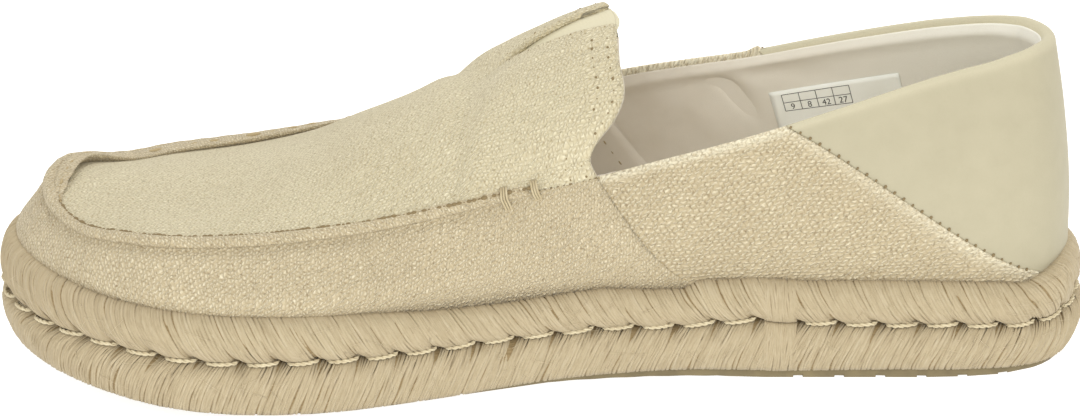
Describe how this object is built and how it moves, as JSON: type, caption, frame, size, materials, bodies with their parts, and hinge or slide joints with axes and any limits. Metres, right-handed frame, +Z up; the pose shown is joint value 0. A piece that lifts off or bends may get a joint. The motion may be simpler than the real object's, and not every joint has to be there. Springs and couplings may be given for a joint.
{
  "type": "loafer",
  "caption": "Slip-on moccasin loafer in natural canvas on a rope-wrapped espadrille sole, with a smooth heel piece, an elastic tongue slit and a thin ribbed rubber underfoot",
  "frame": {"origin": "middle of the shoe's outline in plan, on the floor under the sole", "axes": "+X from toe to heel, +Y from the inner (medial) side to the outer (lateral) side, +Z up; the toe points to -X"},
  "size_m": [0.2938, 0.1053, 0.0904],
  "materials": {
    "canvas": "natural undyed canvas weave, matt",
    "microfibre": "smooth pale brushed microfibre, matt",
    "lining": "beige cotton lining, matt",
    "elastic": "cream ribbed elastic, matt",
    "thread": "cream stitching thread",
    "rope": "braided jute, dry and hairy",
    "core": "cork and foam core, matt",
    "rubber": "dark taupe rubber, matt"
  },
  "bodies": {
    "root": {"upper": "canvas", "heel_counter": "microfibre", "gore": "elastic", "bar_tack_medial": "thread", "bar_tack_lateral": "thread", "insole": "lining", "rope_upper_course": "rope", "rope_lower_course": "rope", "midsole": "core", "outsole": "rubber"}
  },
  "joints": []
}
